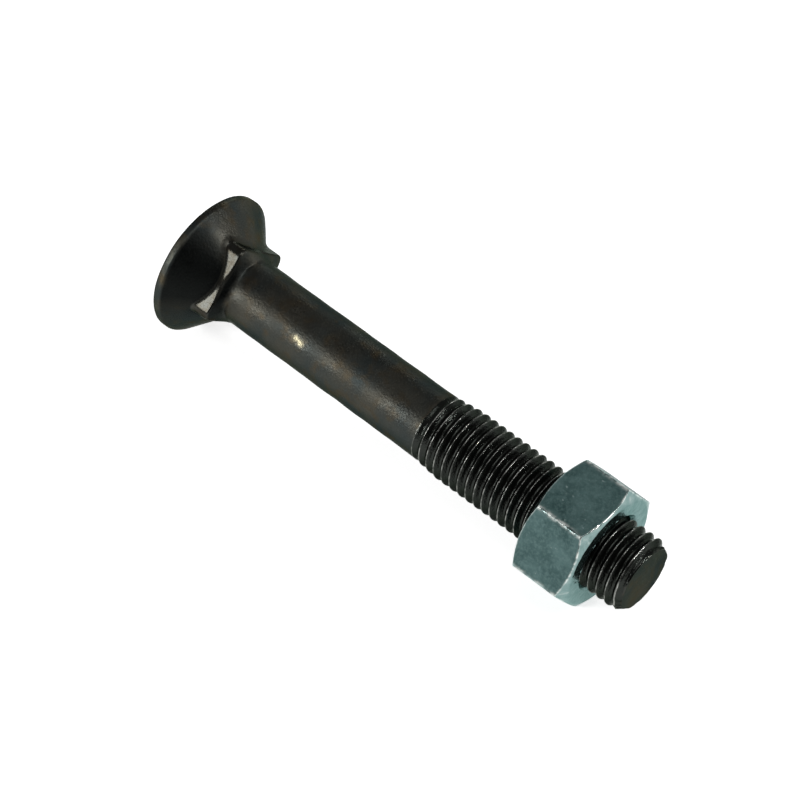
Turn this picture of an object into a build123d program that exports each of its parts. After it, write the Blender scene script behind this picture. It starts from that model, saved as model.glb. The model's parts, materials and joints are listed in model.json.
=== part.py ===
"""Plow bolt with its nut: a flat countersunk bolt with a short square neck, M16, and a hexagon nut.

Both pieces are first made about the local Z axis, with the flat of the head at z = 0 and the threaded
end towards +Z. At the end they are laid down together as they rest on a floor: on the rim of the head
and on one flat of the nut, with the threaded end towards +X. All lengths are in millimetres. The bolt's
thread is given as grooves turned at its pitch and depth, and the nut's bore clears its crests.
"""
from build123d import *
import math
import os

# ---- bolt -----------------------------------------------------------------------------------------
BOLT_LENGTH = 112.4            # over all, from the flat of the head to the tip
HEAD_R = 15.3                  # rim of the head
HEAD_FACE_R = 14.6             # flat face inside the broken edge of the rim
HEAD_LAND_FROM = 0.6           # the narrow land of the rim starts here ...
HEAD_LAND_TO = 1.7             # ... and ends here, where the countersunk cone starts
CONE_ANGLE = 90.0              # included angle of the countersunk cone
NECK_WIDTH = 16.2              # across the flats of the square neck
NECK_CORNER_R = 2.2            # rounding of the neck's four long edges
NECK_PAST_CONE = 1.3           # the neck's end face lies this far beyond the end of the cone
NECK_END_CHAMFER = 0.7         # broken edge round the neck's end face
NECK_ROOT_R = 2.0              # fillet between the cone and the neck
NECK_TURN = 41.0               # turn of the neck against the nut's flats, degrees
SHANK_R = 7.1                  # plain shank, about the pitch diameter of the thread
THREAD_FROM = 61.0             # end of the plain shank
THREAD_PITCH = 2.0
THREAD_R = 7.8                 # crests of the thread
THREAD_ROOT_R = 6.76           # bottoms of its grooves
THREAD_RISE = 6.0              # length over which the crests grow out of the shank
THREAD_SINK = 2.0              # length over which the grooves reach their depth
TIP_R = 6.7                    # flat at the tip
TIP_CHAMFER = 1.5              # length of the tip's chamfer

# ---- nut ------------------------------------------------------------------------------------------
NUT_WIDTH = 24.0               # across flats
NUT_HEIGHT = 13.0
NUT_FROM = 90.8                # bearing face of the nut, from the flat of the head
NUT_CHAMFER_SHARE = 0.95       # chamfer circle as a share of the width across flats
NUT_CHAMFER_ANGLE = 30.0       # against the end face
NUT_PLAY = 0.06                # radial play on the crests of the bolt's thread
NUT_SINK = 0.7                 # depth of the 45 degree countersink at each end of the bore

# ---- worked out -----------------------------------------------------------------------------------
CONE_SLOPE = math.tan(math.radians(CONE_ANGLE / 2))
CONE_TO = HEAD_LAND_TO + (HEAD_R - SHANK_R) / CONE_SLOPE
CONE_APEX = HEAD_LAND_TO + HEAD_R / CONE_SLOPE
NECK_END = CONE_TO + NECK_PAST_CONE
NUT_TO = NUT_FROM + NUT_HEIGHT
NUT_CORNER_R = NUT_WIDTH / math.sqrt(3)
NUT_CHAMFER_R = NUT_CHAMFER_SHARE * NUT_WIDTH / 2
NUT_CHAMFER_SLOPE = math.tan(math.radians(NUT_CHAMFER_ANGLE))
SPARE = 2.0                    # how far cutting shapes reach past what they cut


def turned(points):
    """Solid of revolution about Z, from (z, radius) points that start and end on the axis."""
    outline = Polyline(*[(radius, 0, z) for z, radius in points], close=True)
    return revolve(make_face(outline), Axis.Z)


def square_neck():
    """Square neck with rounded long edges, from inside the cone to its chamfered end face."""
    outline = RectangleRounded(NECK_WIDTH, NECK_WIDTH, NECK_CORNER_R, rotation=NECK_TURN)
    neck = Pos(0, 0, HEAD_LAND_TO) * extrude(outline, NECK_END - HEAD_LAND_TO)
    return chamfer(neck.edges().group_by(Axis.Z)[-1], NECK_END_CHAMFER)


def thread_share(z, length):
    """How much of its height or depth the thread has at z, when it gets the whole over a length."""
    return min(1.0, (z - THREAD_FROM) / length)


def thread_outline():
    """Bottom and crest of each groove of the thread, counted back from the chamfer of the tip."""
    chamfer_from = BOLT_LENGTH - TIP_CHAMFER
    last_turn = int((chamfer_from - THREAD_FROM) / THREAD_PITCH - 0.5)
    points = []
    for turn in range(last_turn, -1, -1):
        crest_at = chamfer_from - turn * THREAD_PITCH
        root_at = crest_at - THREAD_PITCH / 2
        root_r = SHANK_R - (SHANK_R - THREAD_ROOT_R) * thread_share(root_at, THREAD_SINK)
        crest_r = SHANK_R + (THREAD_R - SHANK_R) * thread_share(crest_at, THREAD_RISE)
        points.append((root_at, root_r))
        points.append((crest_at, crest_r))
    return points


def make_bolt():
    """Head with the neck blended into its cone, then the shank with its thread."""
    head = turned([
        (0, 0),
        (0, HEAD_FACE_R),
        (HEAD_LAND_FROM, HEAD_R),
        (HEAD_LAND_TO, HEAD_R),
        (CONE_APEX, 0),
    ])
    head = head + square_neck()
    curved = (GeomType.HYPERBOLA, GeomType.BSPLINE)
    neck_root = [edge for edge in head.edges() if edge.geom_type in curved]
    head = fillet(neck_root, NECK_ROOT_R)
    shank = turned([
        (HEAD_LAND_TO, 0),
        (HEAD_LAND_TO, SHANK_R),
        (THREAD_FROM, SHANK_R),
        *thread_outline(),
        (BOLT_LENGTH, TIP_R),
        (BOLT_LENGTH, 0),
    ])
    return head + shank


def make_nut():
    """Hexagon nut with both ends chamfered, one flat towards local X, and a countersunk bore."""
    hexagon = extrude(RegularPolygon(NUT_CORNER_R, 6, rotation=30), NUT_HEIGHT)
    past_corner = NUT_CORNER_R + SPARE
    chamfer_length = (past_corner - NUT_CHAMFER_R) * NUT_CHAMFER_SLOPE
    ends = turned([
        (0, 0),
        (0, NUT_CHAMFER_R),
        (chamfer_length, past_corner),
        (NUT_HEIGHT - chamfer_length, past_corner),
        (NUT_HEIGHT, NUT_CHAMFER_R),
        (NUT_HEIGHT, 0),
    ])
    bore_r = THREAD_R + NUT_PLAY
    bore = turned([
        (-SPARE, 0),
        (-SPARE, bore_r + NUT_SINK + SPARE),
        (NUT_SINK, bore_r),
        (NUT_HEIGHT - NUT_SINK, bore_r),
        (NUT_HEIGHT + SPARE, bore_r + NUT_SINK + SPARE),
        (NUT_HEIGHT + SPARE, 0),
    ])
    return Pos(0, 0, NUT_FROM) * ((hexagon & ends) - bore)


def lay_down(piece):
    """Lay a piece on the floor as the whole rests, with its length about the origin.

    The floor touches the land of the head at its edge towards the neck, and the nut's lower flat where
    its outer chamfer begins. The axis therefore falls a little towards the tip.
    """
    flat_end = NUT_TO - (NUT_WIDTH / 2 - NUT_CHAMFER_R) * NUT_CHAMFER_SLOPE
    tilt = math.atan2(HEAD_R - NUT_WIDTH / 2, flat_end - HEAD_LAND_TO)
    axis_height = HEAD_R * math.cos(tilt) + HEAD_LAND_TO * math.sin(tilt)
    back = -HEAD_FACE_R * math.sin(tilt)
    front = BOLT_LENGTH * math.cos(tilt) + TIP_R * math.sin(tilt)
    place = Pos(-(back + front) / 2, 0, axis_height) * Rotation(0, 90 + math.degrees(tilt), 0)
    return place * piece


os.makedirs("parts", exist_ok=True)
export_step(lay_down(make_bolt()), "parts/bolt.step")
export_step(lay_down(make_nut()), "parts/nut.step")
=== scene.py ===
"""Plow bolt with its nut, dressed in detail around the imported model.

The bolt and the nut are two closed surfaces worked out from formulas in the bolt's own terms: z runs
along the bolt from the flat of its head to its tip, r is the distance from its axis, and the turn about
the axis starts straight down and goes towards +Y. Lengths are in millimetres until a mesh is made.
"""
import json
import math

import bpy
import numpy as np
from mathutils import Matrix, Vector


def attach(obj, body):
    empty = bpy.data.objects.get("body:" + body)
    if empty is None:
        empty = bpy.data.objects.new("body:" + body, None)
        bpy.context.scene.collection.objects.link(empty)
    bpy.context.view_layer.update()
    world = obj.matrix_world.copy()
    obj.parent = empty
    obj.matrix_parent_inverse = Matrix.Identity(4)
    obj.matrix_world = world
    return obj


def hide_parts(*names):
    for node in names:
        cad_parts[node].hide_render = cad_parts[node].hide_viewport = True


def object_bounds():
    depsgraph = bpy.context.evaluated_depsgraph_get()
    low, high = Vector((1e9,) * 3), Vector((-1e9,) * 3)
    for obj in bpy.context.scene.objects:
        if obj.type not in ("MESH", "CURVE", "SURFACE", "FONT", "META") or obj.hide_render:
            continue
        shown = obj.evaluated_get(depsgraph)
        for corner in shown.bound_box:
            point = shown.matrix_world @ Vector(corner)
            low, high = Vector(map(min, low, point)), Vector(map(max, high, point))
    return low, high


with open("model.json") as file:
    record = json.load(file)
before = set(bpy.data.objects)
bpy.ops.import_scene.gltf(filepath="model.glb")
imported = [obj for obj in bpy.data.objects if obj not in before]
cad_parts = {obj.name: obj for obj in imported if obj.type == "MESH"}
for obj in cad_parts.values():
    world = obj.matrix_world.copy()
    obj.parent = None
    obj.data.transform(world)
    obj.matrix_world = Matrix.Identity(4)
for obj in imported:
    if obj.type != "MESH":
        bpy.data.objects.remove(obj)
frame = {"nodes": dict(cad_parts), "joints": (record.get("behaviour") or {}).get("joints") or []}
cad_low, cad_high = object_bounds()

MM = 0.001
TAU = 2 * math.pi

# ---- directions and main sizes, read from the frame ------------------------------------------------
ALONG = np.array(frame["joints"][0]["axis"]) / np.linalg.norm(frame["joints"][0]["axis"])
SIDE = np.array([0.0, 1.0, 0.0])
UP = np.cross(ALONG, SIDE)


def reach(node, direction):
    """Least and greatest coordinate of a node's corners along a direction."""
    mesh = frame["nodes"][node].data
    corners = np.empty(3 * len(mesh.vertices))
    mesh.vertices.foreach_get("co", corners)
    along = corners.reshape(-1, 3) @ direction / MM
    return along.min(), along.max()


head_flat, tip_flat = reach("bolt", ALONG)
nut_near, nut_far = reach("nut", ALONG)
nut_low, nut_high = reach("nut", UP)
AXIS_FOOT = head_flat * ALONG + (nut_low + nut_high) / 2 * UP
BOLT_LENGTH = tip_flat - head_flat - 0.01   # a hair inside the solid
HEAD_R = reach("bolt", SIDE)[1]
NUT_FROM = nut_near - head_flat
NUT_HEIGHT = nut_far - nut_near
NUT_HALF = (nut_high - nut_low) / 2

# ---- bolt ------------------------------------------------------------------------------------------
HEAD_FACE_R = 14.5             # flat face inside the rounded rim
RIM_HEIGHT = 0.6               # height of the rim's rounding
CONE_FROM = 1.7                # the 45 degree cone starts here
NECK_HALF = 8.1                # half the width across the neck's flats
NECK_CORNER_R = 1.8
NECK_CORNER_REACH = 2.6        # how much further from the axis a rounded corner lies than a flat
NECK_ROOT_SOFT = 1.0           # width of the blend between cone and neck
NECK_END = 11.2
NECK_TURN = math.radians(41.0)
FALL_FROM = 0.9                # the neck's end meets the shank this far past NECK_END on a flat,
FALL_SOONER = 0.5              # and this much sooner at a corner
FLAT_FALL = 0.45               # fall of the neck's end over its length on a flat,
CORNER_FALL = 2.55             # and what a corner adds to it
PAINTED_SHADE_TURN = math.radians(228.0)  # side of the cone and neck that carries painted shade
SHANK_R = 7.1
THREAD_FROM = 61.0
CREST_RISE = 6.0               # length over which the crests grow
ROOT_SINK = 2.0                # length over which the groove gets its depth
CREST_R = 7.8
ROOT_R = 6.76
CREST_FLAT = 0.14
PITCH = 2.0
CREST_AT = 1.735               # z of the crest that passes straight below the axis, less whole pitches
FLANK_STEEP = math.tan(math.radians(56))
THREAD_ROWS = np.array([0, .07, .14, .42, .66, .82, 1.0, 1.18, 1.34, 1.58, 1.86, 1.93])  # in a pitch
TIP_R = 6.7
TIP_CHAMFER = 1.5
TIP_CHIP = 0.10                # how deep the edge of the tip is chipped, on average
TIP_DISH = 0.10                # how deep the tip's face is sawn hollow, on average
NICKS = ((29.3, math.radians(223.5)), (30.6, math.radians(226.0)))   # z and turn
NICK_DEPTH = 0.25
POLISHED_AT = (5.0, TAU / 2)   # z and turn of a smoother spot on the cone

# ---- nut -------------------------------------------------------------------------------------------
NUT_CHAMFER_R = 0.95 * NUT_HALF
NUT_CHAMFER_SLOPE = math.tan(math.radians(30))
NUT_SINK_R = 8.56              # countersink of the bore at the nut's faces
NUT_MINOR_R = 6.93             # crests of the thread in the bore
THREAD_PLAY = 0.07             # radial play between the two threads
BURR_R = 10.0                  # the face is torn inside this radius,
BURR_DEPTH = 0.14              # to this depth

# ---- seeds of the uneven surfaces ------------------------------------------------------------------
BROAD_SKIN, FINE_SKIN, TIP_FACE, NUT_EDGES, TIP_EDGE, TIP_RUBBED, NUT_BURRS, RIM_WEAR = 3, 4, 8, 11, 21, 31, 41, 51


def soft_min(a, b, width):
    """The lesser of two values, rounded by a parabola where they differ by less than the width."""
    near = np.maximum(width - np.abs(a - b), 0)
    return np.minimum(a, b) - near * near / (4 * width)


def soft_max(a, b, width):
    """The greater of two values, rounded in the same way."""
    near = np.maximum(width - np.abs(a - b), 0)
    return np.maximum(a, b) + near * near / (4 * width)


def unevenness(z, r, turn, size, seed):
    """Relief of about unit height: the sum of sixteen plane waves about `size` long, seeded."""
    chance = np.random.default_rng(seed)
    ways = chance.normal(size=(16, 3))
    ways *= (chance.uniform(0.7, 1.6, 16) * TAU / size / np.linalg.norm(ways, axis=1))[:, None]
    shifts = chance.uniform(0, TAU, 16)
    places = np.stack([z, r * np.cos(turn), r * np.sin(turn)], axis=-1)
    return np.cos(places @ ways.T + shifts).sum(axis=-1) / 4


def crowded(count, places, centre, strength):
    """Turns round the axis that lie closer together at `places` evenly spaced spots."""
    even = np.arange(count) / count * TAU
    return even - strength / places * np.sin(places * (even - centre))


def place(z, r, turn):
    """Points in metres from z, r and turn."""
    outward = np.multiply.outer(-np.cos(turn), UP) + np.multiply.outer(np.sin(turn), SIDE)
    return (AXIS_FOOT + z[..., None] * ALONG + r[..., None] * outward) * MM


def sheet_faces(rows, columns, lead=0):
    """Quads of a tube; where it closes, a row meets the one `lead` rows further on, as a helix does."""
    row, column = np.meshgrid(np.arange(rows - 1), np.arange(columns), indexing="ij")
    following = (column + 1) % columns
    met = row + np.where(following == 0, lead, 0)
    here, there = row * columns + column, met * columns + following
    corners = np.stack([here, there, there + columns, here + columns], axis=-1)
    return corners[met + 1 < rows]


def make_piece(name, sheets, material, slot):
    """One closed mesh from sheets of (z, r, turn, marks, lead, inward).

    Corners that share a place become one, so that poles and seams close. Quads that lose a corner by it
    become triangles, and those that lose more are dropped. The marks are kept as attributes. The slot is
    the pair of the body that the piece rides on and the name of a material slot, which is not used.
    """
    points, quads, marks, count = [], [], {}, 0
    for z, r, turn, sheet_marks, lead, inward in sheets:
        faces = sheet_faces(*z.shape, lead) + count
        points.append(place(z, r, turn).reshape(-1, 3))
        quads.append(faces[:, ::-1] if inward else faces)
        for key, value in sheet_marks.items():
            marks.setdefault(key, []).append(np.broadcast_to(value, z.shape).ravel())
        count += z.size
    points = np.concatenate(points)
    unique, first, same = np.unique(np.round(points, 9) + 0.0, axis=0, return_index=True, return_inverse=True)
    quads = same.ravel()[np.concatenate(quads)]
    lost = quads == np.roll(quads, -1, axis=1)
    whole = quads[lost.sum(axis=1) == 0]
    cut, cut_lost = quads[lost.sum(axis=1) == 1], lost[lost.sum(axis=1) == 1]
    triangles = np.take_along_axis(cut, np.argsort(cut_lost, axis=1, kind="stable")[:, :3], axis=1)
    mesh = bpy.data.meshes.new(name)
    mesh.from_pydata(unique.tolist(), [], whole.tolist() + triangles.tolist())
    for key, values in marks.items():
        attribute = mesh.attributes.new(key, "FLOAT", "POINT")
        attribute.data.foreach_set("value", np.concatenate(values)[first].astype(np.float32))
    mesh.shade_smooth()
    mesh.validate()
    mesh.materials.append(material)
    piece = bpy.data.objects.new(name, mesh)
    bpy.context.scene.collection.objects.link(piece)
    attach(piece, slot[0])
    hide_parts(slot[0])
    return piece


# ---- shapes ----------------------------------------------------------------------------------------
def square_r(turn):
    """Outline of the neck: half its width over the cosine on a flat, else the corner's circle."""
    off = (turn - NECK_TURN + TAU / 8) % (TAU / 4) - TAU / 8
    centre = NECK_HALF - NECK_CORNER_R
    swing = TAU / 8 - np.abs(off)
    reach_in = np.maximum(NECK_CORNER_R**2 - 2 * (centre * np.sin(swing)) ** 2, 0)
    corner = math.sqrt(2) * centre * np.cos(swing) + np.sqrt(reach_in)
    return np.where(np.abs(np.tan(off)) * NECK_HALF <= centre, NECK_HALF / np.cos(off), corner)


def crest_off(z, turn):
    """Distance along the bolt from the nearest crest of its right-hand thread."""
    return np.abs((z - CREST_AT - PITCH * turn / TAU + PITCH / 2) % PITCH - PITCH / 2)


def thread_share(z, turn):
    """Height of the thread as a share of its depth: straight steep flanks, flat crest, round root."""
    level = 1 - (crest_off(z, turn) - CREST_FLAT / 2) * FLANK_STEEP / (CREST_R - ROOT_R)
    return soft_max(0.0, soft_min(1.0, level, 0.04), 0.20)


def bolt_r(z, turn):
    """Radius of the bolt along its length and round it.

    The blank is the greatest of the 45 degree cone, the square neck and the shank, with soft changes; the
    neck ends in a straight fall to the shank, gentle on its flats and steep at its corners. The thread lies
    between a groove that deepens and crests that rise, and the tip's chamfer cuts both off.
    """
    rim = soft_min(HEAD_R, HEAD_R - (z - CONE_FROM), 0.2)
    outline = square_r(turn)
    cornered = (outline - NECK_HALF) / NECK_CORNER_REACH
    falls = (NECK_END + FALL_FROM - FALL_SOONER * cornered - z) * (FLAT_FALL + CORNER_FALL * cornered)
    neck = soft_min(outline, SHANK_R + falls, 0.3 + 0.5 * cornered)
    blank = soft_max(soft_max(rim, neck, NECK_ROOT_SOFT), SHANK_R, 0.4)
    crest = SHANK_R + (CREST_R - SHANK_R) * np.clip((z - THREAD_FROM) / CREST_RISE, 0, 1)
    root = SHANK_R - (SHANK_R - ROOT_R) * np.clip((z - THREAD_FROM) / ROOT_SINK, 0, 1)
    thread = root + (crest - root) * thread_share(z, turn)
    chipped = TIP_CHIP * (1 + unevenness(0 * z, TIP_R, turn, 2.6, TIP_EDGE))
    tip = TIP_R - chipped + (BOLT_LENGTH - z) * (CREST_R - TIP_R) / TIP_CHAMFER
    return np.where(z > THREAD_FROM, np.minimum(thread, tip), blank)


def bolt_relief(z, r, turn):
    """How far the forged skin lies below its nominal shape."""
    broad = unevenness(z, r, turn, 9.0, BROAD_SKIN)
    fine = unevenness(z, r, turn, 2.2, FINE_SKIN)
    return 0.035 * (1 + broad) + 0.008 * (1 + fine)


def nicks(z, turn):
    """Depth from 0 to 1 of two small nicks beside each other in the shank, each a bell in z and turn."""
    depth = np.zeros_like(z)
    for at, where in NICKS:
        across = (turn - where) * SHANK_R
        depth = np.maximum(depth, np.exp(-((z - at) / 0.55) ** 2 - (across / 0.45) ** 2))
    return depth


def bolt_marks(z, r, turn):
    """Where the bolt's skin differs: rubbed steel, painted shade and bare metal, each from 0 to 1.

    Rubbed are the neck's flats, where r equals the square outline, a faint ring after the neck and a spot on
    the cone. Dark is painted shade on the side of the cone and neck round 228 degrees of turn. Bare are the nicks
    and worn bits of the rim.
    """
    on_flats = np.clip(1.5 - np.abs(r - square_r(turn)) / 0.2, 0, 1) * np.clip(NECK_END + 1 - z, 0, 1)
    # painted shade: darker on the side of the cone and neck round 228 degrees of turn, off the neck's flats
    facing = np.clip(2.2 * np.cos(turn - PAINTED_SHADE_TURN) - 1, 0, 1)
    dark = np.clip((z - CONE_FROM) / 0.4, 0, 1) * np.clip(NECK_END + 1.2 - z, 0, 1) * facing * (1 - on_flats)
    ring = 0.45 * np.exp(-(z - NECK_END - 2.4) ** 2)
    spot_z, spot_turn = POLISHED_AT
    spot = 0.6 * np.exp(-((z - spot_z) / 2.0) ** 2 - ((turn - spot_turn) * r / 1.8) ** 2)
    rubbed = np.maximum(np.maximum(on_flats, ring), spot)
    rim_wear = np.exp(-((z - 1.4) / 0.5) ** 2) * np.clip(unevenness(z, r, turn, 5.0, RIM_WEAR), 0, 1)
    return {"rubbed": rubbed, "dark": dark, "bare": np.maximum(nicks(z, turn), 0.10 * rim_wear)}


def bolt_body(turn):
    """Head, neck and shank as rings from the middle of the head's flat to the start of the thread."""
    face_r = np.append(np.linspace(0, HEAD_FACE_R - 0.5, 12), HEAD_FACE_R)
    swing = np.linspace(0, TAU / 4, 7)[1:]
    rim_z = RIM_HEIGHT * (1 - np.cos(swing))
    rim_r = HEAD_FACE_R + (HEAD_R - HEAD_FACE_R) * np.sin(swing)
    body_z = np.concatenate([
        np.arange(RIM_HEIGHT + 0.25, CONE_FROM - 0.2, 0.25),
        np.linspace(CONE_FROM - 0.12, CONE_FROM + 0.14, 5),
        np.arange(CONE_FROM + 0.4, 5.2, 0.35),
        np.arange(5.2, NECK_END + 1.4, 0.13),
        np.linspace(NECK_END + 1.5, THREAD_FROM, 80),
    ])
    z = np.concatenate([np.zeros_like(face_r), rim_z, body_z])
    z, turns = np.meshgrid(z, turn, indexing="ij")
    r = bolt_r(z, turns)
    edge = len(face_r) + len(rim_z)
    r[:edge] = np.minimum(np.concatenate([face_r, rim_r])[:, None], r[:edge])
    marks = bolt_marks(z, r, turns)
    fade = np.clip((THREAD_FROM - z) / 2, 0, 1)
    relief = bolt_relief(z, r, turns) * fade * (1 - 0.7 * marks["rubbed"]) + NICK_DEPTH * nicks(z, turns)
    on_face = np.where(np.arange(len(z)) < len(face_r), 1.0, 0.0)[:, None]
    sunk_z = z + on_face * relief * np.clip(r / 3, 0, 1)
    return sunk_z, r - (1 - on_face) * relief, turns, {"crest": 0.0, "oiled": 0.0, **marks}, 0, False


def bolt_thread(turn):
    """Thread as rows that climb one pitch a turn, held between the start of the thread and the tip."""
    laps = np.arange(int((THREAD_FROM - CREST_AT) / PITCH) - 2, int(BOLT_LENGTH / PITCH) + 2)
    rows = (CREST_AT + laps[:, None] * PITCH + THREAD_ROWS).ravel()
    z = np.clip(rows[:, None] + PITCH * turn / TAU, THREAD_FROM, BOLT_LENGTH)
    turns = np.broadcast_to(turn, z.shape)
    r = bolt_r(z, turns)
    crest = 1 - np.clip((crest_off(z, turns) - CREST_FLAT / 2) / 0.07, 0, 1)
    patchy = np.clip(np.cos(turns - PAINTED_SHADE_TURN) + unevenness(z, r, turns, 2.0, TIP_RUBBED), 0, 1)
    tip_edge = np.clip((z - BOLT_LENGTH + 0.3) / 0.3, 0, 1) * patchy
    marks = {"crest": crest, "oiled": 1.0, "rubbed": tip_edge, "dark": 0.0, "bare": 0.0}
    return z, r, turns, marks, len(THREAD_ROWS), False


def bolt_tip(turn):
    """Face of the tip as rings that shrink to its middle, sawn slightly hollow and uneven."""
    turns = np.broadcast_to(turn, (9, len(turn)))
    r = bolt_r(np.full(turns.shape, BOLT_LENGTH), turns) * np.linspace(1, 0, 9)[:, None]
    dish = TIP_DISH * (1 + unevenness(r, r, turns, 6.0, TIP_FACE)) * np.clip(3 - 3 * r / TIP_R, 0, 1)
    dish[-1] = dish[-1, 0]
    marks = {"crest": 0.0, "oiled": 0.0, "rubbed": 0.0, "dark": 0.0, "bare": 0.0}
    return BOLT_LENGTH - dish, r, turns, marks, 0, False


def make_bolt(material):
    """The bolt's three sheets, on columns that crowd together at the neck's four corners."""
    turn = crowded(180, 4, NECK_TURN + TAU / 8, 0.5)
    sheets = [bolt_body(turn), bolt_thread(turn), bolt_tip(turn)]
    return make_piece("bolt_black", sheets, material, ("bolt", "black_steel"))


def hexagon_r(turn, width):
    """Outline of the hexagon with one flat straight down: the least of its flats, rounded where two meet."""
    off = (turn + TAU / 12) % (TAU / 6) - TAU / 12
    near = NUT_HALF / np.cos(off)
    beyond = NUT_HALF / np.cos(TAU / 6 - np.abs(off))
    return soft_min(near, beyond, width)


def nut_bore_r(z, turn):
    """Bore of the nut: the bolt's thread with play, cut off at the minor radius, and sunk at both ends."""
    groove = ROOT_R + (CREST_R - ROOT_R) * thread_share(z, turn) + THREAD_PLAY
    from_end = np.minimum(z - NUT_FROM, NUT_FROM + NUT_HEIGHT - z)
    return np.maximum(np.maximum(groove, NUT_MINOR_R), NUT_SINK_R - from_end)


def nut_outside(turn):
    """Bearing face, chamfer, six flats, chamfer and far face as rings, with worn edges and torn faces.

    A chamfer is the 30 degree cone through NUT_CHAMFER_R, and the flats end where the hexagon meets it.
    """
    end_r = np.array([NUT_SINK_R + 0.001, 8.7, 8.9, 9.1, 9.35, 9.6, 9.85, 10.1, 10.4, 11.0,
                      NUT_CHAMFER_R - 0.15, NUT_CHAMFER_R, NUT_CHAMFER_R + 0.15])
    corner_z = (hexagon_r(turn, 0.25) - NUT_CHAMFER_R) * NUT_CHAMFER_SLOPE
    steps = 0.2 * np.array([-1.0, -0.7, -0.4, -0.1, 0.2, 0.5, 0.8, 1.1])
    flats = np.linspace(0, 1, 14)[:, None]
    lower_z = corner_z + steps[:, None]
    flat_z = corner_z + 0.35
    middle_z = flat_z + flats * (NUT_HEIGHT - 2 * flat_z)
    side_z = np.concatenate([lower_z, middle_z, (NUT_HEIGHT - lower_z)[::-1]])
    side_turns = np.broadcast_to(turn, side_z.shape)
    wear = unevenness(side_z, np.full(side_z.shape, NUT_HALF), side_turns, 2.4, NUT_EDGES)
    flat_r = hexagon_r(side_turns, 0.35 + 0.22 * wear)
    from_end = np.minimum(side_z, NUT_HEIGHT - side_z)
    side_r = soft_min(flat_r, NUT_CHAMFER_R + from_end / NUT_CHAMFER_SLOPE, 0.22 + 0.04 * wear)

    end_turns = np.broadcast_to(turn, (len(end_r), len(turn)))
    near_r = np.broadcast_to(end_r[:, None], end_turns.shape)
    near_z = soft_max(0.0, (near_r - NUT_CHAMFER_R) * NUT_CHAMFER_SLOPE, 0.06)
    burrs = unevenness(near_z, near_r, end_turns, 1.5, NUT_BURRS)
    near_z = near_z + BURR_DEPTH * np.clip(burrs - 0.4, 0, 1) * np.clip((BURR_R - near_r) / 0.6, 0, 1)

    z = np.concatenate([near_z, side_z, NUT_HEIGHT - near_z[::-1]])
    r = np.concatenate([near_r, side_r, near_r[::-1]])
    turns = np.broadcast_to(turn, z.shape)
    return z + NUT_FROM, r, turns, nut_marks(z, r, turns), 0, False


def nut_marks(z, r, turn):
    """Where the nut is turned rather than drawn, and where its edges are worn and carry a painted highlight, each
    from 0 to 1.

    Turned is what lies inside the hexagon. Worn are bells across the six corners and along the arcs in which
    the chamfers cut the flats, more so on the far face's upper side. They are partly wear and partly a
    painted highlight; the brighter upper side of the far face is painted light.
    """
    off = np.abs((turn + TAU / 12) % (TAU / 6) - TAU / 12)
    to_corner = (TAU / 12 - off) * NUT_HALF
    outline = hexagon_r(turn, 0.25)
    to_arc = np.minimum(z, NUT_HEIGHT - z) - (outline - NUT_CHAMFER_R) * NUT_CHAMFER_SLOPE
    turned = np.clip((outline - r) / 0.05, 0, 1)
    # wear and painted highlight: on the far face the arcs are painted brighter towards the top
    worn_and_lit_arc = np.where(z > NUT_HEIGHT / 2, 0.6 - 0.4 * np.cos(turn), 0.45) * np.exp(-(to_arc / 0.14) ** 2)
    edge = np.maximum(np.exp(-(to_corner / 0.34) ** 2) * (1 - 0.8 * turned), worn_and_lit_arc)
    return {"edge": np.where(r > NUT_CHAMFER_R - 0.3, edge, 0.0), "turned": turned}


def nut_bore(turn):
    """Thread of the bore as rows that climb with the bolt's, held between the nut's two faces."""
    laps = np.arange(int((NUT_FROM - CREST_AT) / PITCH) - 2, int((NUT_FROM + NUT_HEIGHT) / PITCH) + 2)
    rows = (CREST_AT + laps[:, None] * PITCH + THREAD_ROWS).ravel()
    z = np.clip(rows[:, None] + PITCH * turn / TAU, NUT_FROM, NUT_FROM + NUT_HEIGHT)
    turns = np.broadcast_to(turn, z.shape)
    return z, nut_bore_r(z, turns), turns, {"edge": 0.0, "turned": 1.0}, len(THREAD_ROWS), True


def make_nut(material):
    """The nut's outside and bore, and a thin ring at each end that joins them."""
    turn = crowded(240, 6, TAU / 12, 0.7)
    outside = nut_outside(turn)
    sheets = [outside, nut_bore(turn)]
    for row, end_z in ((0, 0.0), (-1, NUT_HEIGHT)):
        ring_r = np.stack([np.full(turn.shape, NUT_SINK_R), outside[1][row]])
        ring_z = np.stack([np.full(turn.shape, end_z + NUT_FROM), outside[0][row]])
        ring_turns = np.broadcast_to(turn, ring_r.shape)
        sheets.append((ring_z, ring_r, ring_turns, {"edge": 0.0, "turned": 1.0}, 0, end_z > 0))
    return make_piece("nut_zinc", sheets, material, ("nut", "zinc_plate"))


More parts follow.
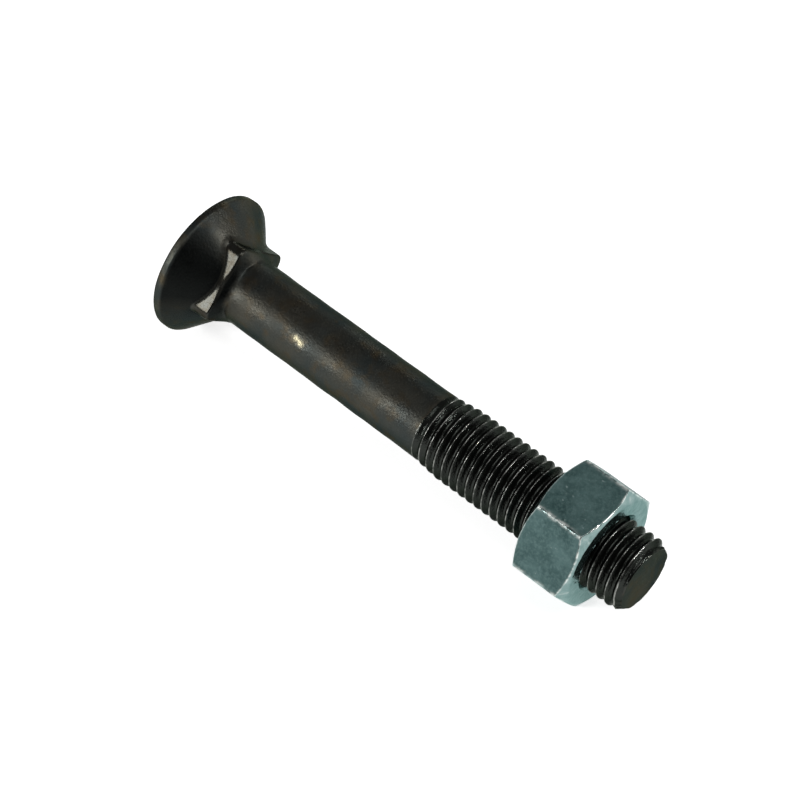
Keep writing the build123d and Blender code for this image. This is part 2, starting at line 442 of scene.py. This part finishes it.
# ---- materials -------------------------------------------------------------------------------------
class Finish:
    """A node material with a Principled shader, and short ways to add and join its nodes."""

    def __init__(self, name):
        self.material = bpy.data.materials.new(name)
        self.material.use_nodes = True
        self.tree = self.material.node_tree
        self.shader = self.tree.nodes["Principled BSDF"]
        self.places = self.add("ShaderNodeTexCoord").outputs["Object"]

    def add(self, kind, **settings):
        node = self.tree.nodes.new(kind)
        for key, value in settings.items():
            setattr(node, key, value)
        return node

    def join(self, source, socket):
        self.tree.links.new(source, socket)

    def noise(self, scale, detail=3.0, roughness=0.5):
        """Noise of so many waves a metre on the object's own coordinates."""
        node = self.add("ShaderNodeTexNoise")
        node.inputs["Scale"].default_value = scale
        node.inputs["Detail"].default_value = detail
        node.inputs["Roughness"].default_value = roughness
        self.join(self.places, node.inputs["Vector"])
        return node.outputs["Fac"]

    def ramp(self, source, low, high, from_low=0.35, from_high=0.65):
        """Maps a value to low..high, held at both ends."""
        node = self.add("ShaderNodeMapRange")
        for key, value in (("From Min", from_low), ("From Max", from_high), ("To Min", low), ("To Max", high)):
            node.inputs[key].default_value = value
        self.join(source, node.inputs["Value"])
        return node.outputs["Result"]

    def mix(self, share, first, second):
        """Blends two colours, each a tuple or a socket."""
        node = self.add("ShaderNodeMix", data_type="RGBA")
        self.join(share, node.inputs["Factor"])
        colour_sockets = [s for s in node.inputs if s.type == "RGBA"]
        for value, socket in zip((first, second), colour_sockets):
            if isinstance(value, tuple):
                socket.default_value = (*value, 1.0)
            else:
                self.join(value, socket)
        return next(s for s in node.outputs if s.type == "RGBA")

    def blend(self, share, first, second):
        """Blends two numbers, each a float or a socket."""
        node = self.add("ShaderNodeMix", data_type="FLOAT")
        self.join(share, node.inputs["Factor"])
        floats = [s for s in node.inputs if s.type == "VALUE" and s.name in ("A", "B")]
        for value, socket in zip((first, second), floats):
            if isinstance(value, float):
                socket.default_value = value
            else:
                self.join(value, socket)
        return next(s for s in node.outputs if s.type == "VALUE")

    def mark(self, name):
        """One of the marks that the mesh carries."""
        return self.add("ShaderNodeAttribute", attribute_name=name).outputs["Fac"]

    def times(self, first, second):
        """Product of a socket and a float or a socket."""
        node = self.add("ShaderNodeMath", operation="MULTIPLY")
        self.join(first, node.inputs[0])
        if isinstance(second, float):
            node.inputs[1].default_value = second
        else:
            self.join(second, node.inputs[1])
        return node.outputs[0]

    def bump(self, height, distance):
        """Tilts the shading by a height from 0 to 1 over a distance in metres."""
        node = self.add("ShaderNodeBump")
        node.inputs["Distance"].default_value = distance
        node.inputs["Strength"].default_value = 1.0
        self.join(height, node.inputs["Height"])
        self.join(node.outputs["Normal"], self.shader.inputs["Normal"])


BLUE_BLACK = (0.037, 0.045, 0.045)
BROWN_BLACK = (0.060, 0.058, 0.048)
BROWN_STAIN = (0.062, 0.052, 0.036)
# painted shade for one side of the cone and neck
PAINTED_SHADE = (0.009, 0.010, 0.0095)
OILED_OXIDE = (0.028, 0.031, 0.028)
THREAD_CREST = (0.29, 0.295, 0.275)
RUBBED_BROWN = (0.036, 0.033, 0.026)
RUBBED_GREY = (0.047, 0.048, 0.043)
BARE_STEEL = (0.60, 0.54, 0.36)
OXIDE_SHEEN = (0.30, 0.33, 0.30, 1)

ZINC_DARK = (0.042, 0.088, 0.086)
ZINC_PALE = (0.096, 0.168, 0.164)
ZINC_GRAIN = (0.15, 0.24, 0.235)
ZINC_SPECK = (0.40, 0.50, 0.48)
# turned faces: machined finish, written paler than the flats partly as painted light
TURNED_LIT_DARK = (0.150, 0.238, 0.230)
TURNED_LIT_PALE = (0.215, 0.305, 0.298)
# near-white for worn edges, partly a painted highlight
WORN_EDGE_AND_HIGHLIGHT = (0.85, 0.88, 0.84)
ZINC_SHEEN = (0.55, 0.68, 0.66, 1)


def black_oxide():
    """Forged steel under black oxide and oil: brown and blue-black clouds, painted shade on one side of the cone
    and neck, a fine grain, glossier thread.
    """
    finish = Finish("black_oxide")
    dark, oiled, rubbed, bare = [finish.mark(name) for name in ("dark", "oiled", "rubbed", "bare")]
    crest = finish.mark("crest")

    tint = finish.mix(finish.ramp(finish.noise(110, 2.0), 0.0, 1.0, 0.38, 0.62), BLUE_BLACK, BROWN_BLACK)
    tint = finish.mix(finish.ramp(finish.noise(330, 3.0), 0.0, 1.0, 0.52, 0.72), tint, BROWN_STAIN)
    # painted shade on the side of the cone and neck round 228 degrees of turn
    tint = finish.mix(dark, tint, PAINTED_SHADE)
    tint = finish.mix(oiled, tint, OILED_OXIDE)
    glints = finish.times(crest, finish.ramp(finish.noise(650), 0.2, 1.0, 0.42, 0.58))
    tint = finish.mix(glints, tint, THREAD_CREST)
    steel = finish.mix(finish.ramp(finish.noise(700, 2.0), 0.0, 1.0), RUBBED_BROWN, RUBBED_GREY)
    tint = finish.mix(rubbed, tint, steel)
    tint = finish.mix(bare, tint, BARE_STEEL)
    finish.join(tint, finish.shader.inputs["Base Color"])

    finish.shader.inputs["Metallic"].default_value = 0.9
    finish.shader.inputs["Specular IOR Level"].default_value = 0.25
    finish.shader.inputs["Specular Tint"].default_value = OXIDE_SHEEN
    patches = finish.ramp(finish.noise(150, 3.0, 0.6), 0.0, 1.0, 0.40, 0.60)
    skin = finish.blend(patches, finish.ramp(finish.noise(2600, 2.0), 0.26, 0.46), 0.46)
    skin = finish.blend(rubbed, skin, 0.24)
    skin = finish.blend(oiled, skin, 0.13)
    finish.join(finish.blend(crest, skin, 0.19), finish.shader.inputs["Roughness"])

    smoother = finish.ramp(rubbed, 1.0, 0.25, 0.0, 1.0)
    finish.bump(finish.times(finish.noise(2300, 3.0, 0.6), smoother), 0.00009)
    return finish.material


def zinc_plate():
    """Blue-grey zinc plating: mottled crystals, small bright specks, dragged turned faces that are paler partly as
    painted light, bright worn edges that are partly a painted highlight.
    """
    finish = Finish("zinc_plate")
    turned, edge = finish.mark("turned"), finish.mark("edge")

    tint = finish.mix(finish.ramp(finish.noise(230, 6.0, 0.62), 0.0, 1.0), ZINC_DARK, ZINC_PALE)
    tint = finish.mix(finish.ramp(finish.noise(1300, 2.0), 0.0, 1.0, 0.71, 0.78), tint, ZINC_SPECK)
    tint = finish.mix(finish.ramp(finish.noise(1500, 3.0, 0.7), 0.0, 0.45, 0.45, 0.65), tint, ZINC_GRAIN)
    # turned faces paler than the flats: partly their machined finish, partly painted light
    dragged = finish.mix(finish.ramp(finish.noise(420, 4.0, 0.6), 0.0, 1.0), TURNED_LIT_DARK, TURNED_LIT_PALE)
    tint = finish.mix(turned, tint, dragged)
    # worn edges, partly wear and partly a painted highlight
    worn = finish.times(edge, finish.ramp(finish.noise(700, 3.0, 0.6), 0.15, 1.0, 0.44, 0.58))
    tint = finish.mix(worn, tint, WORN_EDGE_AND_HIGHLIGHT)
    finish.join(tint, finish.shader.inputs["Base Color"])

    finish.join(finish.ramp(turned, 0.45, 0.95, 0.0, 1.0), finish.shader.inputs["Metallic"])
    finish.shader.inputs["Specular IOR Level"].default_value = 0.3
    finish.shader.inputs["Specular Tint"].default_value = ZINC_SHEEN
    drawn = finish.ramp(finish.noise(700, 3.0), 0.34, 0.46)
    finish.join(finish.blend(turned, drawn, 0.12), finish.shader.inputs["Roughness"])
    finish.bump(finish.noise(1100, 4.0, 0.6), 0.00010)
    return finish.material


def white_floor():
    """Matt white floor that shows as white where no shadow falls, also in the metal's reflections."""
    finish = Finish("white_floor")
    finish.shader.inputs["Base Color"].default_value = (0.9, 0.9, 0.9, 1)
    finish.shader.inputs["Roughness"].default_value = 1.0
    finish.shader.inputs["Specular IOR Level"].default_value = 0.0
    rays = finish.add("ShaderNodeLightPath")
    mirrored = finish.add("ShaderNodeMath", operation="MAXIMUM")
    finish.join(rays.outputs["Is Glossy Ray"], mirrored.inputs[0])
    finish.join(rays.outputs["Is Transmission Ray"], mirrored.inputs[1])
    lift = finish.add("ShaderNodeMath", operation="MAXIMUM")
    finish.join(finish.times(rays.outputs["Is Camera Ray"], 0.74), lift.inputs[0])
    finish.join(finish.times(mirrored.outputs[0], 0.68), lift.inputs[1])
    finish.shader.inputs["Emission Color"].default_value = (1, 1, 1, 1)
    finish.join(lift.outputs[0], finish.shader.inputs["Emission Strength"])
    return finish.material


# ---- surroundings ----------------------------------------------------------------------------------
FLOOR_HALF = 1.0               # in metres, as are the places of the lamps and the camera
EYE = Vector((0.238629, -0.242802, 0.475697))


def make_floor():
    """Square floor under the object, at height nought."""
    corners = [(x * FLOOR_HALF, y * FLOOR_HALF, 0) for x, y in ((-1, -1), (1, -1), (1, 1), (-1, 1))]
    mesh = bpy.data.meshes.new("floor")
    mesh.from_pydata(corners, [], [(0, 1, 2, 3)])
    mesh.materials.append(white_floor())
    floor = bpy.data.objects.new("floor", mesh)
    bpy.context.scene.collection.objects.link(floor)


def make_world():
    """Studio surroundings, white to the camera: pale low down, dim overhead, dark where the tip and camera look."""
    world = bpy.data.worlds.new("studio")
    bpy.context.scene.world = world
    world.use_nodes = True
    tree = world.node_tree
    coords = tree.nodes.new("ShaderNodeTexCoord")
    split = tree.nodes.new("ShaderNodeSeparateXYZ")
    ramp = tree.nodes.new("ShaderNodeValToRGB")
    ramp.color_ramp.elements[0].position = 0.06
    ramp.color_ramp.elements[0].color = (0.8, 0.8, 0.8, 1)
    ramp.color_ramp.elements[1].position = 0.28
    ramp.color_ramp.elements[1].color = (0.14, 0.14, 0.14, 1)
    front = tree.nodes.new("ShaderNodeVectorMath")
    front.operation = "DOT_PRODUCT"
    front.inputs[1].default_value = (0.80, -0.53, 0.28)
    shade = tree.nodes.new("ShaderNodeMapRange")
    for key, value in (("From Min", 0.60), ("From Max", 0.95), ("To Min", 1.0), ("To Max", 0.15)):
        shade.inputs[key].default_value = value
    tree.links.new(coords.outputs["Generated"], split.inputs[0])
    tree.links.new(coords.outputs["Generated"], front.inputs[0])
    tree.links.new(split.outputs["Z"], ramp.inputs["Fac"])
    tree.links.new(front.outputs["Value"], shade.inputs["Value"])
    rays = tree.nodes.new("ShaderNodeLightPath")
    seen = tree.nodes.new("ShaderNodeMix")
    seen.data_type = "RGBA"
    first, second = [socket for socket in seen.inputs if socket.type == "RGBA"]
    second.default_value = (1, 1, 1, 1)
    level = tree.nodes.new("ShaderNodeMath")
    level.operation = "MAXIMUM"
    tree.links.new(rays.outputs["Is Camera Ray"], seen.inputs["Factor"])
    tree.links.new(ramp.outputs["Color"], first)
    tree.links.new(shade.outputs["Result"], level.inputs[0])
    tree.links.new(rays.outputs["Is Camera Ray"], level.inputs[1])
    tree.links.new(next(s for s in seen.outputs if s.type == "RGBA"), tree.nodes["Background"].inputs["Color"])
    tree.links.new(level.outputs[0], tree.nodes["Background"].inputs["Strength"])


def make_lamp(name, direction, distance, width, power):
    """Square softbox that faces the middle of the object from a direction."""
    light = bpy.data.lights.new(name, "AREA")
    light.shape = "RECTANGLE"
    light.size, light.size_y = width, width
    light.energy = power
    lamp = bpy.data.objects.new(name, light)
    way = Vector(direction).normalized()
    lamp.location = (cad_low + cad_high) / 2 + way * distance
    lamp.rotation_mode = "QUATERNION"
    lamp.rotation_quaternion = way.to_track_quat("Z", "Y")
    bpy.context.scene.collection.objects.link(lamp)


def make_camera():
    """Long lens from above the nut's side, turned a little about its own line of sight."""
    azimuth, elevation, roll = math.radians(45.0), math.radians(53.35), math.radians(-3.64)
    camera = bpy.data.cameras.new("camera")
    camera.lens = 134.95
    camera.sensor_width = 36.0
    camera.clip_start, camera.clip_end = 0.01, 20.0
    eye = bpy.data.objects.new("camera", camera)
    turned = Matrix.Rotation(azimuth, 4, "Z") @ Matrix.Rotation(TAU / 4 - elevation, 4, "X")
    eye.matrix_world = Matrix.Translation(EYE) @ turned @ Matrix.Rotation(roll, 4, "Z")
    bpy.context.scene.collection.objects.link(eye)
    bpy.context.scene.camera = eye


make_bolt(black_oxide())
make_nut(zinc_plate())
make_floor()
make_world()
make_lamp("left_softbox", (-0.45, -0.76, 0.47), 0.7, 0.22, 1.9)
make_lamp("back_lamp", (-0.42, 0.85, 0.29), 0.7, 0.04, 0.18)
make_lamp("front_lamp", (0.81, 0.38, 0.44), 0.7, 0.05, 1.2)
make_lamp("top_softbox", (0.35, 0.1, 1.0), 0.9, 0.5, 2.5)
make_camera()
bpy.context.scene.view_settings.view_transform = "Standard"
